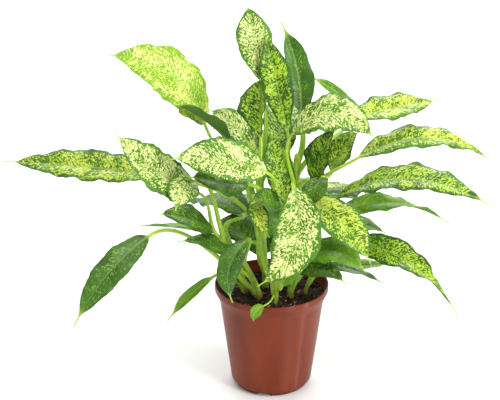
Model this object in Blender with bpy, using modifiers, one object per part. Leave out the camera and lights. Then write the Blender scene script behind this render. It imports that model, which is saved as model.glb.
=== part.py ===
"""Potted dieffenbachia: a moulded nursery pot, its soil, seven canes and the leaves they carry.

The frame is metres with +Z up. The origin is the middle of the pot's underside, on the ground.
Sizes are written in millimetres and turned to metres once, where a mesh is made.
"""
from math import cos, log, pi, radians, sin
from typing import NamedTuple

import bmesh
import bpy
import numpy as np

MM = 0.001                    # metres in a millimetre
GAP = 0.3                     # air left between pieces that touch

# ---- pot, mm -----------------------------------------------------------------------------
POT_HEIGHT = 116.0
RIM_RADIUS = 60.5             # outside of the lip
LIP_BAND = 7.0                # upright part of the lip
LIP_ROUND = 0.7               # radius of its top edge
SHOULDER_DROP = 10.5          # slanted part under the lip
SHOULDER_RADIUS = 55.2        # where the slant meets the wall
FOOT_RADIUS = 43.2            # wall at the top of the bottom bend
BEND_RADIUS = 4.0             # bend between wall and base
FOOT_HEIGHT = 4.2             # ring that lifts the base off the ground
FOOT_RING = (34.5, 38.5)      # inner and outer radius of that ring
POT_WALL = 1.4
POT_STEPS = 48
NOTCHES = 4                   # gaps in the foot ring that let water out
NOTCH_WIDTH = 15.0
NOTCH_TURN = radians(257.5)   # direction of the front notch
DRAIN_HOLES = 6
DRAIN_RADIUS = 4.0
DRAIN_CIRCLE = 22.0
BOSS_RADIUS = 8.0             # flush pad where the moulding was filled
DRAFT = 0.5                   # how much the foot ring and the pad widen upwards

# ---- soil, mm ----------------------------------------------------------------------------
SOIL_TOP = 106.0              # ten millimetres under the rim
SOIL_CROWN = 2.0              # how much higher the middle stands
PLANTING_DEPTH = 34.0         # length of each cane that is in the soil

# ---- leaves ------------------------------------------------------------------------------
PETIOLE_STATIONS = 5
BLADE_STATIONS = 11
PETIOLE_RADIUS = 2.3          # mm
WIDEST_AT = 0.42              # share of the blade's length from its base, unless a leaf gives its own
DRIP_TIP = 0.93               # the blade narrows to a thread here
TIP_WIDTH_POWER = 0.65
SPREAD = 0.6                  # how far a petiole leans out as it leaves its cane

POT_BROWN = (0.29, 0.055, 0.022)
SOIL_BROWN = (0.022, 0.012, 0.008)
CANE_GREEN = (0.30, 0.42, 0.06)
LEAF_GREEN = (0.13, 0.32, 0.03)


class Cane(NamedTuple):
    """One stalk. Places are millimetres, heights are above the soil."""
    foot: tuple[float, float]
    top: tuple[float, float]
    height: float
    foot_radius: float = 3.6
    top_radius: float = 2.6


class Leaf(NamedTuple):
    """One leaf, petiole and blade together.

    joint and tip are (heading in degrees, reach, height above the soil), the reach and the
    height in millimetres. arch lifts the middle of the blade and sway moves it to the leaf's
    right. roll tips the upper face to the leaf's right, twist adds to that towards the tip,
    and fold raises each half of the blade from the midrib.
    """
    cane: str
    foot: float
    joint: tuple[float, float, float]
    tip: tuple[float, float, float]
    width: float
    arch: float = 0.0
    sway: float = 0.0
    roll: float = 0.0
    twist: float = 0.0
    fold: float = 9.0
    stalk: float = PETIOLE_RADIUS
    reach_up: float = 0.4
    widest: float = WIDEST_AT


CANES = {
    "left": Cane((-28, 2), (-52, -4), 72),
    "front_left": Cane((-14, -12), (-34, -18), 50, 4.2, 3.2),
    "front": Cane((4, -24), (5, -30), 46, 3.0, 2.4),
    "front_right": Cane((20, -12), (27, -14), 122),
    "back_left": Cane((-6, 10), (-16, 16), 134),
    "back_right": Cane((16, 14), (26, 20), 150),
    "right": Cane((36, -2), (48, 4), 30, 2.2, 1.8),
}

LEAVES = {
    "crown_tall": Leaf("back_left", 126, (114, 26, 226), (119, 52, 302), 38, 0, 0, -25, widest=0.6),
    "crown_dark": Leaf("back_right", 140, (44, 23, 172), (102, 31, 275), 34, 0, 0, -50, fold=12, widest=0.58),
    "crown_right": Leaf("back_right", 144, (42, 41, 194), (80, 48, 286), 31, 4, 4, -30, fold=20, stalk=2.8, widest=0.36),
    "crown_left": Leaf("back_left", 114, (237, 22, 182), (143, 16, 237), 46, 0, 0, -45, fold=36, widest=0.58),
    "upper_left": Leaf("back_left", 108, (174, 70, 188), (188, 172, 274), 56, 22, -3, -54, fold=5),
    "left_edge": Leaf("back_left", 96, (190, 46, 176), (200, 108, 228), 30, 4, 0, 10, fold=30),
    "left_back": Leaf("back_left", 100, (135, 34, 158), (150, 78, 192), 32, 6, 1, -40, fold=6),
    "left_long": Leaf("back_left", 76, (172, 122, 126), (168, 294, 124), 44, 2, 2, -26),
    "left_cream": Leaf("left", 64, (193, 78, 121), (202, 171, 208), 48, -7, 2, -55, fold=5),
    "left_nod": Leaf("front_left", 14, (198, 84, 138), (212, 116, 120), 34, 6, 2, -30, stalk=2.4),
    "centre_cream": Leaf("back_left", 84, (258, 32, 150), (209, 120, 175), 48, 8, -1, -46, fold=5),
    "centre_shade": Leaf("back_left", 30, (224, 35, 134), (205, 95, 149), 46, 0, 0, -24, stalk=2.6),
    "left_low": Leaf("left", 44, (196, 64, 78), (200, 126, 109), 36, 5, -1, -26, stalk=2.0),
    "left_thin": Leaf("left", 52, (173, 79, 67), (164, 147, 58), 28, 2, 0, 18, fold=10),
    "left_droop": Leaf("left", 26, (197, 133, 82), (206, 225, 8), 31, 12, -2, -40, stalk=2.4),
    "left_under": Leaf("front_left", 34, (217, 43, 44), (204, 108, 78), 30, 10, 0, -14),
    "rim_left": Leaf("front_left", 42, (235, 44, 76), (236, 73, 16), 26, 14, 6, -20),
    "rim_narrow": Leaf("left", 10, (182, 62, 18), (188, 112, -28), 14, 4, -2, -40, fold=30),
    "front_cream": Leaf("front_right", 104, (296, 49, 138), (259, 86, 46), 50, -13, -17, -33, fold=5),
    "front_right": Leaf("front_right", 84, (319, 49, 119), (323, 125, 67), 42, 9, -3, 30, fold=6),
    "right_lime": Leaf("right", 22, (0, 66, 34), (358, 124, 35), 30, -4),
    "right_plain": Leaf("front_right", 46, (307, 55, 57), (327, 115, 51), 38, 17, 0, 20),
    "right_dark": Leaf("front_right", 30, (303, 53, 41), (322, 97, 36), 28, 11, -1, 16),
    "right_grey": Leaf("front_right", 20, (338, 54, 41), (344, 122, 25), 26, 4, 0, -6),
    "right_twist": Leaf("back_right", 66, (5, 72, 90), (13, 197, 58), 28, 16, -1, 14, -110, 10),
    "right_shadow": Leaf("front_right", 62, (349, 73, 86), (350, 121, 77), 32, 3),
    "right_gloss": Leaf("back_right", 86, (38, 60, 93), (13, 100, 95), 31, 5),
    "right_big": Leaf("back_right", 88, (7, 68, 105), (345, 233, 122), 47, 27, 0, 14, fold=6),
    "right_mid": Leaf("back_right", 98, (14, 93, 144), (14, 246, 122), 42, 26, -1, 12, fold=6),
    "right_top": Leaf("back_right", 132, (17, 91, 187), (27, 202, 183), 42, 1, -2, 18),
    "right_cream": Leaf("front_right", 116, (6, 20, 178), (342, 112, 184), 50, 27, -1, 32, fold=5),
    "right_speck": Leaf("back_right", 112, (36, 79, 118), (28, 106, 164), 42, 4, -2, 20),
    "right_side": Leaf("back_right", 108, (0, 56, 114), (6, 68, 186), 42, 10, 3, 60, fold=20),
    "right_nook": Leaf("front_right", 92, (335, 56, 141), (308, 63, 117), 30, 6, 0, 10),
    "back_twist": Leaf("back_right", 128, (42, 116, 183), (62, 77, 220), 12, 2, 0, -60, 20, 20),
    "front_seedling": Leaf("front", 6, (262, 64, 14), (254, 70, -2), 12, 2, 3, stalk=0.9),
    "front_curl": Leaf("front", 30, (306, 47, 48), (278, 64, 32), 24, 6, 0, -20, fold=16),
    "front_lime": Leaf("front", 24, (224, 26, 114), (267, 52, 86), 22, 2, 4),
    "centre_low": Leaf("front_right", 54, (290, 25, 112), (243, 50, 121), 28, 4, 0, -30),
    "centre_back": Leaf("back_right", 120, (320, 16, 111), (95, 18, 178), 34),
    "mid_left": Leaf("back_left", 48, (140, 30, 50), (152, 68, 68), 46, 4, 0, -10),
    "right_arch": Leaf("front_right", 54, (354, 82, 62), (337, 207, 11), 35, 20, -1, 25, -140, 10),
    "back_middle": Leaf("back_left", 70, (100, 60, 110), (98, 190, 90), 48, 22),
    "back_low_right": Leaf("back_right", 70, (70, 56, 70), (66, 180, 44), 54, 18),
    "back_high_left": Leaf("back_left", 110, (110, 50, 130), (112, 175, 120), 46, 20),
    "back_low_left": Leaf("left", 70, (128, 50, 72), (129, 142, 50), 54, 12),
    "back_side_right": Leaf("back_right", 76, (45, 56, 84), (45, 155, 66), 50, 8),
    "back_drop": Leaf("back_left", 10, (108, 34, 26), (103, 150, 0), 56, 12),
    "back_low": Leaf("back_left", 40, (100, 48, 40), (97, 170, 38), 58, 14),
    "back_high_right": Leaf("back_right", 118, (85, 40, 150), (78, 160, 150), 46, 22),
    "back_near": Leaf("back_left", 118, (84, 34, 134), (86, 130, 136), 42, 10),
}


# ---- shape of a cane and of a leaf, in millimetres -----------------------------------------
def unit(vector: np.ndarray) -> np.ndarray:
    """Return the vector at length one."""
    return vector / np.linalg.norm(vector)


def place(heading: float, reach: float, height: float) -> np.ndarray:
    """Return the point at a heading in degrees, a reach and a height above the soil."""
    turn = radians(heading)
    return np.array([reach * cos(turn), reach * sin(turn), SOIL_TOP + height])


def cane_point(cane: Cane, height: float) -> np.ndarray:
    """Return the middle of a cane at a height above the soil: canes bow outwards as they rise."""
    share = max(height / cane.height, 0.0) ** 1.3
    foot, top = np.array(cane.foot), np.array(cane.top)
    return np.array([*(foot + (top - foot) * share), SOIL_TOP + height])


def cane_radius(cane: Cane, height: float) -> float:
    """Return a cane's radius at a height above the soil."""
    share = min(max(height / cane.height, 0.0), 1.0)
    return cane.foot_radius + (cane.top_radius - cane.foot_radius) * share


def bezier(points: list[np.ndarray], steps: np.ndarray) -> np.ndarray:
    """Return the points of a Bezier curve at the given steps from 0 to 1."""
    share = steps[:, None]
    level = [point[None, :] + 0 * share for point in points]
    while len(level) > 1:
        level = [low * (1 - share) + high * share for low, high in zip(level, level[1:])]
    return level[0]


def blade_width(share: np.ndarray, widest: float) -> np.ndarray:
    """Return the half-width of a blade, from 0 to 1, at shares of its length."""
    power = log(0.5) / log(widest / DRIP_TIP)
    along = np.clip(share / DRIP_TIP, 0, 1)
    return np.sin(pi * along ** power) ** TIP_WIDTH_POWER * (1 - 0.25 * along ** 6)


def leaf_line(leaf: Leaf) -> tuple[np.ndarray, ...]:
    """Return a leaf's middle line with its side and face directions.

    Returns:
        points, side directions, face directions, share along the petiole, share along the blade.
    """
    cane = CANES[leaf.cane]
    joint, tip = place(*leaf.joint), place(*leaf.tip)
    stem = cane_point(cane, leaf.foot)
    rise = unit(cane_point(cane, leaf.foot + 4) - stem)
    outward = unit((joint - stem) * (1, 1, 0))
    foot = stem + outward * (cane_radius(cane, leaf.foot) + leaf.stalk * 1.25 + GAP + 0.2)
    heading = (tip - joint) * (1, 1, 0)
    if np.linalg.norm(heading) < 25:
        heading = (joint - foot) * (1, 1, 0)
    right = np.cross(unit(heading), (0, 0, 1))
    chord = unit(tip - joint)
    right_of_chord = unit(right - chord * (right @ chord))
    above_chord = np.cross(right_of_chord, chord)
    bow = (joint + tip) / 2 + 2 * (leaf.arch * above_chord + leaf.sway * right_of_chord)
    start = unit(bow - joint)
    length = np.linalg.norm(joint - foot)
    petiole = np.linspace(0, 1, PETIOLE_STATIONS + 1)
    blade = np.linspace(0, 1, BLADE_STATIONS + 1)
    stalk_line = bezier([foot, foot + unit(rise + SPREAD * outward) * length * leaf.reach_up,
                         joint - start * length * 0.35, joint], petiole)
    points = np.vstack([stalk_line, bezier([joint, bow, tip], blade)[1:]])
    petiole = np.concatenate([petiole, np.ones(BLADE_STATIONS)])
    blade = np.concatenate([np.zeros(PETIOLE_STATIONS + 1), blade[1:]])
    ahead = np.gradient(points, axis=0)
    ahead /= np.linalg.norm(ahead, axis=1)[:, None]
    side = right - ahead * (ahead @ right)[:, None]
    side /= np.linalg.norm(side, axis=1)[:, None]
    face = np.cross(side, ahead)
    ease = np.clip((petiole - 0.4) / 0.6, 0, 1)
    turn = np.radians(leaf.roll * ease * ease * (3 - 2 * ease) + leaf.twist * (blade - 0.4) * (blade > 0))
    turn = turn[:, None]
    return points, side * np.cos(turn) - face * np.sin(turn), face * np.cos(turn) + side * np.sin(turn), \
        petiole, blade


def leaf_rings(leaf: Leaf) -> np.ndarray:
    """Return the six-sided sections of a leaf, from its foot to its tip, in millimetres."""
    points, side, face, petiole, blade = leaf_line(leaf)
    half = leaf.width / 2 * blade_width(blade, leaf.widest)
    rings = []
    for here, across, up, along, share, wide in zip(points, side, face, petiole, blade, half):
        rib = leaf.stalk * (1.25 - 0.45 * along if share == 0 else 0.8 * (1 - 0.75 * share))
        flat = min(1.0, wide / (2 * leaf.stalk))
        edge = max(wide * cos(radians(leaf.fold)), rib)
        lift = wide * sin(radians(leaf.fold))
        top, bottom = rib * 0.85 * (1 - 0.55 * flat), -rib * 0.85
        outline = [(-edge, lift), (-rib / 2, top), (rib / 2, top), (edge, lift), (rib / 2, bottom),
                   (-rib / 2, bottom)]
        rings.append([here + across * x + up * y for x, y in outline])
    return np.array(rings)


# ---- making the objects ---------------------------------------------------------------------
def clear_scene() -> None:
    """Remove every object that the file opened with."""
    for thing in list(bpy.data.objects):
        bpy.data.objects.remove(thing, do_unlink=True)


def make_collection(name: str) -> bpy.types.Collection:
    """Make a collection and hang it in the scene."""
    collection = bpy.data.collections.new(name)
    bpy.context.scene.collection.children.link(collection)
    return collection


def make_material(name: str, colour: tuple[float, float, float], roughness: float) -> bpy.types.Material:
    """Make a plain Principled material from a linear colour."""
    material = bpy.data.materials.new(name)
    material.use_nodes = True
    shader = material.node_tree.nodes["Principled BSDF"]
    shader.inputs["Base Color"].default_value = (*colour, 1)
    shader.inputs["Roughness"].default_value = roughness
    return material


def make_object(name: str, mesh: bpy.types.Mesh, collection: bpy.types.Collection,
                material: bpy.types.Material | None = None) -> bpy.types.Object:
    """Make an object from a mesh, shade it smooth and put it in its collection."""
    mesh.shade_smooth()
    mesh.set_sharp_from_angle(angle=radians(40))
    if material:
        mesh.materials.append(material)
    thing = bpy.data.objects.new(name, mesh)
    collection.objects.link(thing)
    return thing


def hide_cutter(cutter: bpy.types.Object) -> bpy.types.Object:
    """Show a cutter as a wire and keep it out of renders."""
    cutter.hide_render = True
    cutter.display_type = "WIRE"
    return cutter


def cut(target: bpy.types.Object, cutter: bpy.types.Object) -> None:
    """Take a cutter's shape away from an object."""
    boolean = target.modifiers.new("cut " + cutter.name, "BOOLEAN")
    boolean.operation = "DIFFERENCE"
    boolean.solver = "EXACT"
    boolean.object = cutter


def turned_mesh(name: str, profile: list[tuple[float, float]]) -> bpy.types.Mesh:
    """Return a mesh that a Screw modifier will turn: the profile is (radius, height) in mm.

    The profile runs down the outer side, from top to bottom.
    """
    mesh = bpy.data.meshes.new(name)
    points = [(radius * MM, 0, height * MM) for radius, height in profile]
    mesh.from_pydata(points, [(i, i + 1) for i in range(len(points) - 1)], [])
    return mesh


def add_screw(thing: bpy.types.Object) -> None:
    """Turn a profile once round Z."""
    screw = thing.modifiers.new("turn", "SCREW")
    screw.angle = 2 * pi
    screw.steps = screw.render_steps = POT_STEPS
    screw.use_merge_vertices = True
    screw.merge_threshold = 0.00001
    screw.use_smooth_shade = True


def arc(centre: tuple[float, float], radius: float, start: float, end: float,
        steps: int) -> list[tuple[float, float]]:
    """Return points on an arc between two directions in degrees."""
    turns = [radians(start + (end - start) * i / steps) for i in range(steps + 1)]
    return [(centre[0] + radius * cos(turn), centre[1] + radius * sin(turn)) for turn in turns]


def pot_profile() -> tuple[list[tuple[float, float]], list[tuple[float, float]]]:
    """Return the pot's section in two runs: lip, slant, wall, bend and foot, then up the inside."""
    lip_low = POT_HEIGHT - LIP_BAND
    shoulder = lip_low - SHOULDER_DROP
    base = FOOT_HEIGHT + POT_WALL
    bend = (FOOT_RADIUS - BEND_RADIUS, FOOT_HEIGHT + BEND_RADIUS)
    lip = arc((RIM_RADIUS - LIP_ROUND, POT_HEIGHT - LIP_ROUND), LIP_ROUND, 90, 0, 3)
    outside = [*lip, (RIM_RADIUS, lip_low), (SHOULDER_RADIUS, shoulder), *arc(bend, BEND_RADIUS, 0, -90, 5)]
    inside = [*arc(bend, BEND_RADIUS - POT_WALL, -90, 0, 4), (SHOULDER_RADIUS - POT_WALL, shoulder),
              (RIM_RADIUS - POT_WALL, lip_low + 0.4), (RIM_RADIUS - POT_WALL, POT_HEIGHT)]
    foot = [(FOOT_RING[1] + DRAFT, FOOT_HEIGHT), (FOOT_RING[1], 0), (FOOT_RING[0] + DRAFT, 0),
            (FOOT_RING[0], FOOT_HEIGHT), (BOSS_RADIUS + DRAFT, FOOT_HEIGHT), (BOSS_RADIUS, 0), (0, 0)]
    return [*outside, *foot], [(0, base), *inside, lip[0]]


def make_pot(collection: bpy.types.Collection, cutters: bpy.types.Collection) -> None:
    """Make the nursery pot with its notched foot ring and its drain holes."""
    outside, inside = pot_profile()
    pot = make_object("pot", turned_mesh("pot", outside + inside), collection,
                      make_material("polypropylene", POT_BROWN, 0.38))
    add_screw(pot)
    bm = bmesh.new()
    for number in range(NOTCHES):
        turn = NOTCH_TURN + 2 * pi * number / NOTCHES
        notch = bmesh.ops.create_cube(bm, size=1.0)["verts"]
        reach = (FOOT_RING[0] + FOOT_RING[1]) / 2
        deep = FOOT_RING[1] - FOOT_RING[0] + 4
        for vert in notch:
            along = vert.co.x * deep + reach
            across = vert.co.y * NOTCH_WIDTH
            up = vert.co.z * 2 * (FOOT_HEIGHT - 0.2)
            vert.co = ((along * cos(turn) - across * sin(turn)) * MM,
                       (along * sin(turn) + across * cos(turn)) * MM, up * MM)
    for number in range(DRAIN_HOLES):
        turn = 2 * pi * number / DRAIN_HOLES
        hole = bmesh.ops.create_cone(bm, cap_ends=True, segments=16, radius1=DRAIN_RADIUS * MM,
                                     radius2=DRAIN_RADIUS * MM, depth=4 * POT_WALL * MM)["verts"]
        offset = (DRAIN_CIRCLE * cos(turn) * MM, DRAIN_CIRCLE * sin(turn) * MM, FOOT_HEIGHT * MM)
        bmesh.ops.translate(bm, verts=hole, vec=offset)
    mesh = bpy.data.meshes.new("water_ways")
    bm.to_mesh(mesh)
    bm.free()
    cut(pot, hide_cutter(make_object("water_ways", mesh, cutters)))


def wall_inside(height: float) -> float:
    """Return the radius of the pot's inner wall at a height."""
    shoulder = POT_HEIGHT - LIP_BAND - SHOULDER_DROP
    if height > shoulder:
        share = (height - shoulder) / SHOULDER_DROP
        return SHOULDER_RADIUS - POT_WALL + (RIM_RADIUS - SHOULDER_RADIUS) * min(share, 1)
    share = (height - FOOT_HEIGHT - BEND_RADIUS) / (shoulder - FOOT_HEIGHT - BEND_RADIUS)
    return FOOT_RADIUS + (SHOULDER_RADIUS - FOOT_RADIUS) * share - POT_WALL


def soil_profile() -> list[tuple[float, float]]:
    """Return the soil plug's section, from the middle of its top down to its underside."""
    base = FOOT_HEIGHT + POT_WALL + GAP
    bend = (FOOT_RADIUS - BEND_RADIUS, FOOT_HEIGHT + BEND_RADIUS)
    shoulder = POT_HEIGHT - LIP_BAND - SHOULDER_DROP
    edge = wall_inside(SOIL_TOP - SOIL_CROWN) - 2 * GAP
    top = [(edge * share, SOIL_TOP + SOIL_CROWN * (0.5 * cos(pi * share) - 0.5)) for share in (0, 0.5, 0.8, 1)]
    side = [(wall_inside(shoulder) - 2 * GAP, shoulder - 1.0)]
    low = arc(bend, BEND_RADIUS - POT_WALL - 2 * GAP, 0, -60, 3)
    return [*top, *side, *low, (FOOT_RADIUS - BEND_RADIUS - 2, base), (0, base)]


def cane_curve(name: str, cane: Cane, extra: float, collection: bpy.types.Collection) -> bpy.types.Object:
    """Make one cane as a tapered tube, with its radius grown by extra, and return it as a mesh."""
    heights = [-PLANTING_DEPTH - extra, *np.linspace(0, cane.height, 7)]
    curve = bpy.data.curves.new(name, "CURVE")
    curve.dimensions = "3D"
    curve.bevel_depth = MM
    curve.bevel_resolution = 2
    curve.use_fill_caps = True
    line = curve.splines.new("POLY")
    line.points.add(len(heights) - 1)
    for point, height in zip(line.points, heights):
        point.co = (*(cane_point(cane, height) * MM), 1)
        point.radius = cane_radius(cane, height) + extra
    tube = bpy.data.objects.new(name, curve)
    collection.objects.link(tube)
    bpy.context.view_layer.update()
    mesh = bpy.data.meshes.new_from_object(tube.evaluated_get(bpy.context.evaluated_depsgraph_get()))
    bpy.data.objects.remove(tube, do_unlink=True)
    bm = bmesh.new()
    bm.from_mesh(mesh)
    bmesh.ops.remove_doubles(bm, verts=bm.verts, dist=0.00001)
    bmesh.ops.recalc_face_normals(bm, faces=bm.faces)
    bm.to_mesh(mesh)
    bm.free()
    return make_object(name, mesh, collection)


def make_soil_and_canes(collection: bpy.types.Collection, cutters: bpy.types.Collection) -> None:
    """Make the soil plug with a socket for each cane, and the canes that stand in it."""
    soil = make_object("soil", turned_mesh("soil", soil_profile()), collection,
                       make_material("peat", SOIL_BROWN, 0.95))
    add_screw(soil)
    bark = make_material("cane_skin", CANE_GREEN, 0.45)
    for name, cane in CANES.items():
        cut(soil, hide_cutter(cane_curve("socket_" + name, cane, GAP, cutters)))
        cane_curve("cane_" + name, cane, 0, collection).data.materials.append(bark)


def leaf_mesh(name: str, leaf: Leaf) -> bpy.types.Mesh:
    """Return the closed mesh of a leaf: its sections joined by rows of faces, and two ends."""
    rings = leaf_rings(leaf) * MM
    bm = bmesh.new()
    rows = [[bm.verts.new(point) for point in ring] for ring in rings]
    sides = len(rows[0])
    for low, high in zip(rows, rows[1:]):
        for i in range(sides):
            bm.faces.new((low[i], low[(i + 1) % sides], high[(i + 1) % sides], high[i]))
    bm.faces.new(rows[0][::-1])
    bm.faces.new(rows[-1])
    bmesh.ops.triangulate(bm, faces=bm.faces)
    bmesh.ops.recalc_face_normals(bm, faces=bm.faces)
    mesh = bpy.data.meshes.new(name)
    bm.to_mesh(mesh)
    bm.free()
    return mesh


def make_leaves(collection: bpy.types.Collection) -> None:
    """Make every leaf."""
    skin = make_material("leaf_skin", LEAF_GREEN, 0.4)
    for name, leaf in LEAVES.items():
        make_object("leaf_" + name, leaf_mesh("leaf_" + name, leaf), collection, skin)


def main() -> None:
    """Build the potted plant."""
    clear_scene()
    parts = make_collection("potted_dieffenbachia")
    cutters = make_collection("cutters")
    make_pot(parts, cutters)
    make_soil_and_canes(parts, cutters)
    make_leaves(parts)


if __name__ == "__main__":
    main()
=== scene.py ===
"""Looks of the potted dieffenbachia: its nursery pot, potting mix, canes and leaves.

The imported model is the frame. Every piece here stands for one of its nodes and keeps that node's
place and size. Places are metres with +Z up, and the origin is the middle of the pot's underside.
The plant's own sizes are millimetres, turned to metres where a mesh is made.
"""

import logging
from dataclasses import dataclass
from enum import Enum
from math import cos, log, pi, radians, sin
from typing import Any

import bmesh
import bpy
import numpy as np
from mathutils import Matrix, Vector


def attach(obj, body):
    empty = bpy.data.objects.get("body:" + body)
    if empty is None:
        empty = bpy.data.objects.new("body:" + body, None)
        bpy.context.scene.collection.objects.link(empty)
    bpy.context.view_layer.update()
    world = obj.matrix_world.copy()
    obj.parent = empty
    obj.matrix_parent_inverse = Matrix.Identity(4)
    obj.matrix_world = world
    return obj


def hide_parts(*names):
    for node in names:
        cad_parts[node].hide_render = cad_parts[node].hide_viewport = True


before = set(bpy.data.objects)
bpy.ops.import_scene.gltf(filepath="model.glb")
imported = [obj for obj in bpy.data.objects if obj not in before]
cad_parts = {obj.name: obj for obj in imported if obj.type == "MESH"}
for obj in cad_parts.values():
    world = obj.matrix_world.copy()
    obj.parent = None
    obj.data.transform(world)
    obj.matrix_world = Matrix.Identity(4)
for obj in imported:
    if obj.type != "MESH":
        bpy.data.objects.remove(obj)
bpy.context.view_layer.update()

LOG = logging.getLogger("potted_dieffenbachia")
MM = 0.001


# ---- small helpers ---------------------------------------------------------------------------
def linear(hex_colour: str) -> tuple[float, float, float, float]:
    """Turn an sRGB hex colour into linear red, green, blue and alpha.

    Args:
        hex_colour: six hex digits after a hash sign.

    Returns:
        Four numbers from 0 to 1.
    """
    parts = [int(hex_colour[i:i + 2], 16) / 255 for i in (1, 3, 5)]
    curve = [part / 12.92 if part <= 0.04045 else ((part + 0.055) / 1.055) ** 2.4 for part in parts]
    return (*curve, 1.0)


Source = bpy.types.Node | bpy.types.NodeSocket


def output_of(source: Source) -> bpy.types.NodeSocket:
    """Return a socket itself, or a node's main output, which for a colour mix is its third."""
    if isinstance(source, bpy.types.NodeSocket):
        return source
    return source.outputs[2 if source.bl_idname == "ShaderNodeMix" else 0]


def add_node(tree: bpy.types.NodeTree, kind: str, settings: dict[Any, Any] | None = None,
             links: dict[Any, Source] | None = None) -> bpy.types.Node:
    """Add one node to a material.

    Args:
        tree: the node tree that takes it.
        kind: the node's Blender type, without its prefix.
        settings: values by property name, or by input name or number.
        links: what feeds its inputs, by input name or number.

    Returns:
        The new node.
    """
    node = tree.nodes.new("ShaderNode" + kind)
    for key, value in (settings or {}).items():
        if isinstance(key, str) and hasattr(node, key):
            setattr(node, key, value)
        else:
            node.inputs[key].default_value = value
    for key, source in (links or {}).items():
        tree.links.new(output_of(source), node.inputs[key])
    return node


def calc(tree: bpy.types.NodeTree, operation: str, *terms: float | Source) -> bpy.types.Node:
    """Add one step of arithmetic on numbers and other nodes."""
    fixed = {i: term for i, term in enumerate(terms) if isinstance(term, (int, float))}
    return add_node(tree, "Math", {"operation": operation, **fixed},
                    {i: term for i, term in enumerate(terms) if i not in fixed})


def ramp(tree: bpy.types.NodeTree, source: Source, start: float, end: float, low: float = 0.0,
         high: float = 1.0, kind: str = "LINEAR") -> bpy.types.Node:
    """Turn values from start to end into values from low to high."""
    return add_node(tree, "MapRange", {"interpolation_type": kind, 1: start, 2: end, 3: low, 4: high},
                    {0: source})


def blend(tree: bpy.types.NodeTree, share: Source, low: str | Source, high: str | Source) -> bpy.types.Node:
    """Mix two colours, each an sRGB hex colour or a node, by a share from 0 to 1."""
    ends = {6: low, 7: high}
    fixed = {key: linear(end) for key, end in ends.items() if isinstance(end, str)}
    return add_node(tree, "Mix", {"data_type": "RGBA", **fixed},
                    {0: share, **{key: end for key, end in ends.items() if key not in fixed}})


def noise(tree: bpy.types.NodeTree, place: Source, scale: float, detail: float = 2.0,
          **more: float) -> bpy.types.Node:
    """Add soft noise at a place."""
    return add_node(tree, "TexNoise", {"Scale": scale, "Detail": detail, **more}, {"Vector": place})


def bump(tree: bpy.types.NodeTree, height: Source, strength: float, deep_mm: float) -> bpy.types.Node:
    """Add fine relief, as deep as given in millimetres."""
    return add_node(tree, "Bump", {"Strength": strength, "Distance": deep_mm * MM}, {"Height": height})


def surface(tree: bpy.types.NodeTree, settings: dict[str, float], links: dict[str, Source]) -> None:
    """Add the material's surface and show it."""
    add_node(tree, "OutputMaterial", {}, {"Surface": add_node(tree, "BsdfPrincipled", settings, links)})


def new_material(name: str) -> tuple[bpy.types.Material, bpy.types.NodeTree]:
    """Make an empty node material.

    Args:
        name: the material's name.

    Returns:
        The material and its node tree.
    """
    material = bpy.data.materials.new(name)
    material.use_nodes = True
    material.node_tree.nodes.clear()
    return material, material.node_tree


def new_piece(name: str, vertices: np.ndarray, faces: list[tuple[int, ...]],
              material: bpy.types.Material) -> bpy.types.Object:
    """Make a smooth-shaded object from points in millimetres.

    Args:
        name: the object's name.
        vertices: one row of x, y and z for each point.
        faces: the corners of each face.
        material: its finish.

    Returns:
        The object, linked to the scene.
    """
    mesh = bpy.data.meshes.new(name)
    mesh.from_pydata((vertices * MM).tolist(), [], faces)
    mesh.shade_smooth()
    mesh.materials.append(material)
    piece = bpy.data.objects.new(name, mesh)
    bpy.context.scene.collection.objects.link(piece)
    return piece


def stand_for(piece: bpy.types.Object, node: str) -> None:
    """Let a piece ride on the plant's one body in place of a node, and report it."""
    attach(piece, "root")
    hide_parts(node)
    LOG.info("%s stands for %s, %d faces", piece.name, node, len(piece.data.polygons))


def unit(vector: np.ndarray) -> np.ndarray:
    """Return the vector at length one."""
    return vector / np.linalg.norm(vector)


def ease(share: np.ndarray) -> np.ndarray:
    """Return a smooth step from 0 to 1 over shares from 0 to 1."""
    share = np.clip(share, 0, 1)
    return share * share * (3 - 2 * share)


def bezier(points: list[np.ndarray], steps: np.ndarray) -> np.ndarray:
    """Return points on a Bezier curve.

    Args:
        points: its control points.
        steps: numbers from 0 to 1.

    Returns:
        One row for each step.
    """
    share = steps[:, None]
    level = [point[None, :] + 0 * share for point in points]
    while len(level) > 1:
        level = [low * (1 - share) + high * share for low, high in zip(level, level[1:])]
    return level[0]


def ring_faces(rings: int, sides: int, first: int = 0) -> list[tuple[int, ...]]:
    """Return the faces of a closed tube of rings, with its two ends.

    Args:
        rings: how many rings there are.
        sides: points in a ring.
        first: the number of the tube's first point.

    Returns:
        The corners of each face, facing out for rings that run up a right-handed circle.
    """
    faces = [(first + r * sides + i, first + r * sides + (i + 1) % sides,
              first + (r + 1) * sides + (i + 1) % sides, first + (r + 1) * sides + i)
             for r in range(rings - 1) for i in range(sides)]
    faces.append(tuple(first + i for i in reversed(range(sides))))
    faces.append(tuple(first + (rings - 1) * sides + i for i in range(sides)))
    return faces


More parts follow.
